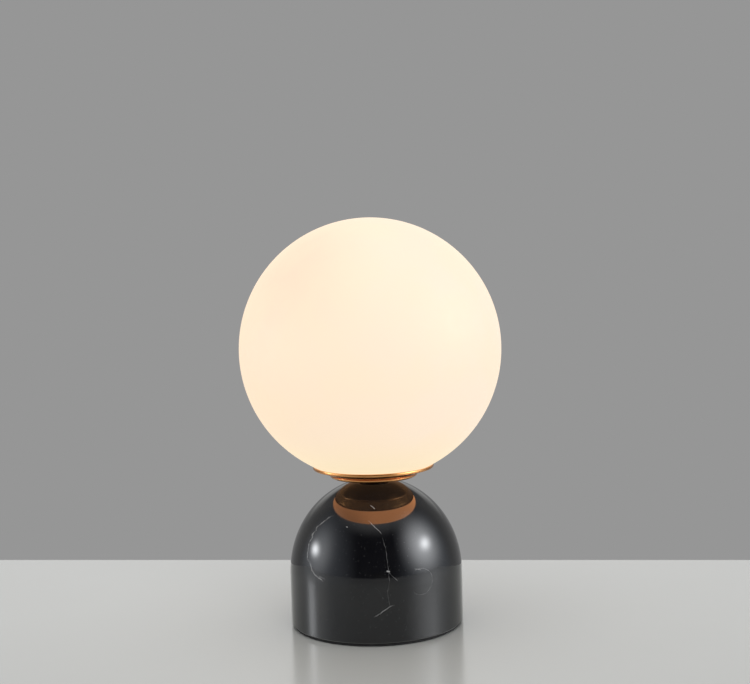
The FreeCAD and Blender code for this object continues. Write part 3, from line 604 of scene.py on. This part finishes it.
def makeMarble():
    finish, tree, shader = newFinish("blackMarble")
    spot = objectPlace(tree)
    wander = noise(tree, spot, 9.0, detail=5.0, roughness=0.6).outputs["Color"]
    drift = vectorCalc(tree, "SUBTRACT", wander, (0.5, 0.5, 0.5))
    moved = vectorCalc(tree, "MULTIPLY_ADD", drift, (stone["drift"],) * 3, spot)
    broken = noise(tree, spot, 3.2, detail=3.0).outputs["Fac"]
    dash = fade(tree, broken, 0.30, 0.62)

    # grey and brown clouds in the black stone
    cloud = noise(tree, moved, stone["cloudGrain"], detail=7.0, roughness=0.62).outputs["Fac"]
    ground = ramp(tree, cloud, (0.25, (0.0030, 0.0032, 0.0042)), (0.55, (0.0048, 0.0050, 0.0062)),
                  (0.80, (0.0120, 0.0108, 0.0100)))
    fleck = addNode(tree, "TexVoronoi", {"Vector": moved, "Scale": 1 / stone["fleckGrain"], "Randomness": 1.0})
    veins = fade(tree, fleck.outputs["Distance"], 0.13, 0.04, 0.0, 0.11)
    for vein in frontVeins:
        offset = vectorCalc(tree, "SUBTRACT", moved, vein["centre"])
        away = vectorCalc(tree, "LENGTH", offset, output=1)
        if "ball" in vein:
            depth = calc(tree, "ABSOLUTE", calc(tree, "SUBTRACT", away, vein["ball"]))
        else:
            direction = tuple(Vector(vein["normal"]).normalized())
            depth = calc(tree, "ABSOLUTE", vectorCalc(tree, "DOT_PRODUCT", offset, direction, output=1))
        line = fade(tree, depth, vein["width"] * 1.5, vein["width"] * 0.4)
        near = fade(tree, away, vein["reach"], vein["reach"] * 0.72, 0.0, vein["strength"])
        seen = calc(tree, "MULTIPLY", calc(tree, "MULTIPLY", line, near),
                    fade(tree, dash, 0.0, 0.8, 0.25, 1.0))
        if "ball" in vein:      # a broken ring, open at its left
            across = addNode(tree, "SeparateXYZ", {"Vector": offset}).outputs["X"]
            seen = calc(tree, "MULTIPLY", seen, fade(tree, across, -8.0, -1.0))
        veins = calc(tree, "MAXIMUM", veins, seen)

    # sparse net of veins over the sides and the back
    swing = noise(tree, spot, 34.0, detail=2.0).outputs["Color"]
    swing = vectorCalc(tree, "SUBTRACT", swing, (0.5, 0.5, 0.5))
    bent = vectorCalc(tree, "MULTIPLY_ADD", swing, (stone["netSwing"],) * 3, moved)
    net = addNode(tree, "TexVoronoi", {"Vector": bent, "Scale": 1 / stone["netGrain"], "Randomness": 1.0},
                  feature="DISTANCE_TO_EDGE")
    thread = fade(tree, net.outputs["Distance"], 0.0075, 0.002)
    split = addNode(tree, "SeparateXYZ", {"Vector": spot})
    behind = fade(tree, split.outputs["Y"], *stone["netStart"])
    patch = fade(tree, noise(tree, spot, 24.0, detail=2.0).outputs["Fac"], 0.44, 0.60)
    netSeen = calc(tree, "MULTIPLY", calc(tree, "MULTIPLY", thread, behind),
                   calc(tree, "MULTIPLY", patch, fade(tree, dash, 0.0, 0.8, 0.15, 0.55)))
    veins = calc(tree, "MAXIMUM", veins, netSeen)

    tree.links.new(blendColours(tree, veins, ground, stone["veinTone"]), shader.inputs["Base Color"])
    polish = noise(tree, spot, 18.0, detail=4.0).outputs["Fac"]
    tree.links.new(calc(tree, "MULTIPLY_ADD", veins, 0.10, fade(tree, polish, 0.3, 0.7, *stone["polish"])),
                   shader.inputs["Roughness"])
    shader.inputs["IOR"].default_value = stone["refraction"]
    bump(tree, shader, veins, 0.006)
    return finish


place(buildDome(), "base", "black_marble", makeMarble(), "marble_base")
print("marble dome made")


# Foot pad, neck collar, inlet and pillar

padSizes = {"radius": 64.4, "ease": 0.5, "topEase": 0.2, "steps": 160}
collar = {"radius": 11.5, "ease": 0.3, "boreRadius": 5.1, "steps": 96}
pillar = {"radius": 7.5, "ease": 0.5, "boreRadius": 5.1, "steps": 96}
inlet = {
    "flangeRadius": 7.6,
    "flange": 1.6,
    "round": 0.7,
    "neckRadius": 4.9,
    "neckEase": 0.3,
    "boreRadius": 3.3,
    "boreRound": 0.8,
    "steps": 72,
}


def buildPad():
    low, high = (corner.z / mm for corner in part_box("base_pad"))
    radius = padSizes["radius"]
    ease = padSizes["ease"]
    topEase = padSizes["topEase"]
    outline = [(0, low), (radius * 0.5, low), (radius - ease - 0.4, low)]
    outline += arcOutline((radius - ease, low + ease), ease, -90, 0, 6)
    outline += arcOutline((radius - topEase, high - topEase), topEase, 0, 90, 3)
    outline += [(0, high)]
    piece = turnOutline("footPad", outline, padSizes["steps"])
    shadeSmooth(piece, 50)
    return piece


def buildSleeve(name, node, sizes):
    # a ring with eased edges between a node's two heights
    low, high = (corner.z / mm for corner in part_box(node))
    radius = sizes["radius"]
    ease = sizes["ease"]
    outline = [(sizes["boreRadius"], low)]
    outline += arcOutline((radius - ease, low + ease), ease, -90, 0, 5)
    outline += arcOutline((radius - ease, high - ease), ease, 0, 90, 5)
    outline += [(sizes["boreRadius"], high), (sizes["boreRadius"], low)]
    piece = turnOutline(name, outline, sizes["steps"])
    shadeSmooth(piece, 40)
    return piece


def buildInlet():
    # turned upright, then laid along the back
    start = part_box("cord_grommet")[0].y / mm
    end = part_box("cord_grommet")[1].y / mm
    seat = end - inlet["flange"]
    bend = inlet["round"]
    bore = inlet["boreRadius"]
    boreRound = inlet["boreRound"]
    neck = inlet["neckRadius"]
    ease = inlet["neckEase"]
    outline = [(bore, start), (neck - ease, start), (neck, start + ease)]
    outline += [(neck, seat), (inlet["flangeRadius"], seat)]
    outline += arcOutline((inlet["flangeRadius"] - bend, end - bend), bend, 0, 90, 6)
    outline += arcOutline((bore + boreRound, end - boreRound), boreRound, 90, 180, 6)
    outline.append(outline[0])
    piece = turnOutline("rubberInlet", outline, inlet["steps"])
    piece.rotation_euler = (-math.pi / 2, 0, 0)
    piece.location = (0, 0, dome["inletHeight"] * mm)
    pickOnly(piece)
    bpy.ops.object.transform_apply(location=True, rotation=True, scale=True)
    shadeSmooth(piece, 40)
    return piece


place(buildPad(), "base", "black_foam", finishes["blackFoam"], "base_pad")
place(buildSleeve("neckCollar", "neck_spacer", collar), "base", "black_plastic",
      finishes["blackCollar"], "neck_spacer")
place(buildSleeve("pillarSleeve", "pillar_tube", pillar), "base", "brass", finishes["satinBrass"], "pillar_tube")
place(buildInlet(), "base", "black_rubber", finishes["blackRubber"], "cord_grommet")
print("foot, collar, pillar and inlet made")


# Bulb

capsule = {"radius": 9.5, "wall": 1.0, "footEase": 0.4, "steps": 96, "brightness": 0.82}


def buildCapsule():
    low, high = (corner.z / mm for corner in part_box("bulb_envelope"))
    radius = capsule["radius"]
    inner = radius - capsule["wall"]
    crown = high - radius
    ease = capsule["footEase"]
    outline = [(inner, low)]
    outline += arcOutline((radius - ease, low + ease), ease, -90, 0, 3)
    outline += arcOutline((0, crown), radius, 0, 90, 20)
    outline += arcOutline((0, crown), inner, 90, 0, 20)
    outline.append(outline[0])
    piece = turnOutline("frostedCapsule", outline, capsule["steps"])
    shadeSmooth(piece, 40)
    return piece


def makeFrost():
    finish, tree, shader = newFinish("frostedGlow")
    spot = objectPlace(tree)
    split = addNode(tree, "SeparateXYZ", {"Vector": spot})
    low, high = (corner.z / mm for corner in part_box("bulb_envelope"))
    grain = noise(tree, spot, 1.2, detail=3.0).outputs["Fac"]
    middle = fade(tree, split.outputs["Z"], low, low + 12)
    tone = blendColours(tree, middle, (0.70, 0.47, 0.26), (1.0, 0.84, 0.58))
    tree.links.new(tone, shader.inputs["Emission Color"])
    shader.inputs["Emission Strength"].default_value = capsule["brightness"]
    tree.links.new(ramp(tree, grain, (0.3, (0.17, 0.16, 0.145)), (0.7, (0.20, 0.19, 0.17))),
                   shader.inputs["Base Color"])
    tree.links.new(fade(tree, grain, 0.3, 0.7, 0.45, 0.6), shader.inputs["Roughness"])
    bump(tree, shader, grain, 0.02)
    return finish


place(buildCapsule(), "bulb", "frosted_cover", makeFrost(), "bulb_envelope")
print("bulb made")


# Small pieces: eased copies of the plain nodes, each with its node, body, slot, finish and ease
easedPieces = [
    ("ceramicFoot", "bulb_base", "bulb", "white_ceramic", "bulbCeramic", 0.25),
    ("ceramicHolder", "holder_body", "base", "steatite", "steatite", 0.25),
    ("holderStirrup", "holder_bracket", "base", "zinc_steel", "zincSteel", 0.15),
    ("holderScrews", "holder_screws", "base", "zinc_steel", "zincSteel", 0.12),
    ("fitterDisc", "fitter_plate", "base", "zinc_steel", "zincSteel", 0.15),
    ("fitterHexNut", "fitter_nut", "base", "zinc_steel", "zincSteel", 0.12),
    ("stirrupHexNut", "bracket_nut", "base", "zinc_steel", "zincSteel", 0.12),
    ("clampHexNut", "bottom_nut", "base", "zinc_steel", "zincSteel", 0.12),
    ("splitWashers", "lock_washers", "base", "zinc_steel", "zincSteel", 0.10),
    ("leafSprings", "globe_springs", "base", "spring_steel", "springSteel", 0.08),
    ("leadBlock", "terminal_block", "base", "white_plastic", "whiteMoulding", 0.2),
    ("earthStrip", "wiring_strip", "base", "zinc_steel", "zincSteel", 0.12),
]
for name, node, body, slot, finish, edge in easedPieces:
    place(softCopy(name, node, edge), body, slot, finishes[finish], node)

# The other nodes keep their shape and get a finish of their own
keptNodes = {
    "globe_gasket": "clearSilicone",
    "bottom_cover": "blackCoat",
    "cover_screws": "zincSteel",
    "cover_inserts": "satinBrass",
    "threaded_rod": "zincSteel",
    "rod_bushings": "whiteMoulding",
    "clamp_washer": "zincSteel",
    "spring_rivets": "satinBrass",
    "holder_contacts": "springSteel",
    "bulb_pins": "springSteel",
    "led_board": "boardWhite",
    "led_chips": "phosphor",
    "terminal_barrels": "satinBrass",
    "terminal_screws": "zincSteel",
    "block_screws": "zincSteel",
    "earth_screw": "satinBrass",
    "earth_tag": "satinBrass",
    "live_lead": "brownSleeve",
    "neutral_lead": "blueSleeve",
    "earth_lead": "greenSleeve",
}
for node, finish in keptNodes.items():
    nodes[node].data.materials.clear()
    nodes[node].data.materials.append(finishes[finish])
print("small pieces made")


# Table, studio and camera

table = {
    "backEdge": 195.2,        # behind the lamp's axis
    "edgeTurn": -6.43,        # degrees, so that the edge lies level in the picture
    "reach": 4000.0,
    "tint": (0.99, 1.0, 0.97),
    "polish": (0.168, 0.180),
    "pale": 0.370,
    "glossPale": 0.86,        # its double gets less light
    "glossDrop": 0.05,        # its double lies this much lower
}


def makeTableFinish(name, pale):
    finish, tree, shader = newFinish(name)
    spot = objectPlace(tree)
    grain = noise(tree, spot, 260.0, detail=3.0).outputs["Fac"]
    tone = ramp(tree, grain, (0.3, shade(pale * 0.983, table["tint"])), (0.7, shade(pale * 1.017, table["tint"])))
    tree.links.new(tone, shader.inputs["Base Color"])
    tree.links.new(fade(tree, grain, 0.3, 0.7, *table["polish"]), shader.inputs["Roughness"])
    return finish


def buildTable(name, height, finish):
    bpy.ops.object.select_all(action="DESELECT")
    bpy.ops.mesh.primitive_plane_add(size=2 * table["reach"] * mm, location=(0, -table["reach"] * mm, 0))
    piece = startPrimitive(name)
    bpy.ops.object.transform_apply(location=True)
    piece.rotation_euler = (0, 0, math.radians(table["edgeTurn"]))
    piece.location = (0, table["backEdge"] * mm, height * mm)
    bpy.ops.object.transform_apply(location=True, rotation=True)
    piece.data.materials.append(finish)
    return piece


def buildTableTops():
    # the top that is seen takes no glare of the softboxes; its double, only seen in gloss, does
    seen = buildTable("tableTop", 0.0, makeTableFinish("paleTable", table["pale"]))
    seen.visible_glossy = False
    seen.visible_shadow = False
    glossFinish = makeTableFinish("paleTableInGloss", table["glossPale"])
    mirrored = buildTable("tableInGloss", -table["glossDrop"], glossFinish)
    mirrored.visible_camera = False
    mirrored.visible_diffuse = False
    # what a lamp lights: all but the seen top, or nothing else
    linked = {}
    for state in ("EXCLUDE", "INCLUDE"):
        linked[state] = bpy.data.collections.new("table" + state.title())
        linked[state].objects.link(seen)
        linked[state].collection_objects[0].light_linking.link_state = state
    return linked


studio = {
    "wall": (0.305, 0.305, 0.305),         # what is seen
    "even": (0.69, 0.69, 0.69),            # what lights
    # what gloss shows
    "front": (0.015, 0.013, 0.015),
    "sides": (0.50, 0.54, 0.60),
    "behindLow": (0.30, 0.30, 0.30),
    "behindMiddle": (0.70, 0.70, 0.69),
    "behindHigh": (0.16, 0.16, 0.16),
    "above": (0.7, 0.7, 0.7),
}


def buildStudio():
    world = bpy.data.worlds.new("studio")
    bpy.context.scene.world = world
    world.use_nodes = True
    tree = world.node_tree
    tree.nodes.clear()
    direction = addNode(tree, "TexCoord").outputs["Generated"]
    split = addNode(tree, "SeparateXYZ", {"Vector": direction})
    sideways = calc(tree, "ABSOLUTE", split.outputs["X"])
    upward = split.outputs["Z"]
    room = blendColours(tree, fade(tree, sideways, 0.35, 0.95), studio["front"], studio["sides"])
    behind = blendColours(tree, fade(tree, upward, 0.08, 0.16), studio["behindLow"], studio["behindMiddle"])
    behind = blendColours(tree, fade(tree, upward, 0.32, 0.42), behind, studio["behindHigh"])
    behind = blendColours(tree, fade(tree, sideways, 0.30, 0.62), behind, studio["wall"])
    room = blendColours(tree, fade(tree, split.outputs["Y"], 0.15, 0.60), room, behind)
    room = blendColours(tree, fade(tree, upward, 0.70, 0.95), room, studio["above"])
    rays = addNode(tree, "LightPath")
    light = blendColours(tree, rays.outputs["Is Glossy Ray"], studio["even"], room)
    light = blendColours(tree, rays.outputs["Is Camera Ray"], light, studio["wall"])
    glow = addNode(tree, "Background", {"Color": light, "Strength": 1.0})
    output = addNode(tree, "OutputWorld")
    tree.links.new(glow.outputs[0], output.inputs[0])


# Softboxes, seen only in gloss: direction from the dome in degrees (0 is the front, 90 the right), distance and
# size in millimetres, and the brightness and share of the lamp's radius of a core and of the halo round it
softboxes = {
    "leftSoftbox": dict(azimuth=-94, elevation=14, away=1500, size=2800, core=12.0, coreShare=0.13,
                        halo=2.0, haloShare=0.36, haloShift=0.09),
    "rightSoftbox": dict(azimuth=78, elevation=23, away=1500, size=2800, core=10.6, coreShare=0.15,
                         halo=5.9, haloShare=0.42, haloShift=-0.06),
}
# Panels, seen only in the table's gloss
panels = {
    "backPanel": dict(azimuth=180, elevation=16, away=1500, size=5000, halo=0.37, haloShare=0.7),
    "frontPanel": dict(azimuth=0, elevation=10, away=10000, size=20000, halo=0.75, haloShare=0.7),
}
# Soft lamps that no gloss shows: place and size in millimetres, power in watts
fillLamps = {
    "topFill": dict(spot=(-200, -300, 2200), size=2600, power=27),
    "frontFill": dict(spot=(600, -2200, 1500), size=2000, power=21),
}


def aimAt(lamp, target):
    lamp.rotation_euler = (Vector(target) - lamp.location).to_track_quat("-Z", "Y").to_euler()


def buildSoftbox(name, azimuth, elevation, away, size, halo, haloShare, haloShift=0.0, core=0.0, coreShare=0.1):
    # a round lamp seen only by gloss, bright in the middle and fading to its rim
    turn = math.radians(azimuth)
    lift = math.radians(elevation)
    target = Vector((0, 0, 60 * mm))
    outward = Vector((math.sin(turn) * math.cos(lift), -math.cos(turn) * math.cos(lift), math.sin(lift)))
    bpy.ops.object.light_add(type="AREA", location=target + outward * away * mm)
    lamp = bpy.context.object
    lamp.name = name
    lamp.data.shape = "DISK"
    lamp.data.size = size * mm
    aimAt(lamp, target)
    lamp.visible_diffuse = False
    lamp.visible_camera = False
    area = math.pi * (size * mm / 2) ** 2
    lamp.data.energy = area * math.pi       # so that the node's strength is the radiance
    lamp.data.use_nodes = True
    tree = lamp.data.node_tree
    glow = tree.nodes["Emission"]
    where = addNode(tree, "NewGeometry").outputs["Parametric"]
    centred = vectorCalc(tree, "SUBTRACT", where, (0.5, 0.5, 0))
    total = 0.0
    for level, share, flat, shift in ((core, coreShare, 1.5, 0), (halo, haloShare, 1.0, haloShift)):
        out = vectorCalc(tree, "SUBTRACT", centred, (shift, 0, 0))
        out = vectorCalc(tree, "LENGTH", vectorCalc(tree, "MULTIPLY", out, (2, 2 * flat, 0)), output=1)
        slope = calc(tree, "MULTIPLY", calc(tree, "POWER", out, 2.0), -1 / share ** 2)
        total = calc(tree, "MULTIPLY_ADD", calc(tree, "POWER", math.e, slope), level, total)
    tree.links.new(total, glow.inputs["Strength"])
    glow.inputs["Color"].default_value = (0.95, 0.97, 1.0, 1)
    return lamp


def buildFill(name, spot, size, power):
    bpy.ops.object.light_add(type="AREA", location=Vector(spot) * mm)
    lamp = bpy.context.object
    lamp.name = name
    lamp.data.shape = "DISK"
    lamp.data.size = size * mm
    lamp.data.energy = power
    aimAt(lamp, (0, 0, 0.1))
    lamp.visible_glossy = False
    lamp.visible_camera = False


# Camera matched to the photograph: place, tilt and roll from its outlines
shot = {
    "spot": (3.89, -1000.0, 295.35),
    "pitch": 0.0775,          # radians below level
    "roll": -0.0274,
    "lens": 62.92,
}


def buildCamera():
    bpy.ops.object.camera_add(location=Vector(shot["spot"]) * mm)
    camera = bpy.context.object
    camera.name = "shotCamera"
    camera.data.lens = shot["lens"]
    camera.data.sensor_width = 36.0
    forward = Vector((0, math.cos(shot["pitch"]), -math.sin(shot["pitch"])))
    above = Vector((0, math.sin(shot["pitch"]), math.cos(shot["pitch"])))
    level = Vector((1, 0, 0))
    right = level * math.cos(shot["roll"]) + above * math.sin(shot["roll"])
    up = above * math.cos(shot["roll"]) - level * math.sin(shot["roll"])
    camera.rotation_euler = Matrix((right, up, -forward)).transposed().to_euler()
    camera.data.clip_start = 0.01
    camera.data.clip_end = 60
    bpy.context.scene.camera = camera


tableLinks = buildTableTops()
buildStudio()
for lamps, state in ((softboxes, "EXCLUDE"), (panels, "INCLUDE")):
    for name, values in lamps.items():
        buildSoftbox(name, **values).light_linking.receiver_collection = tableLinks[state]
for name, values in fillLamps.items():
    buildFill(name, **values)
buildCamera()
bpy.context.scene.view_settings.view_transform = "Standard"
print("table, studio and camera made")
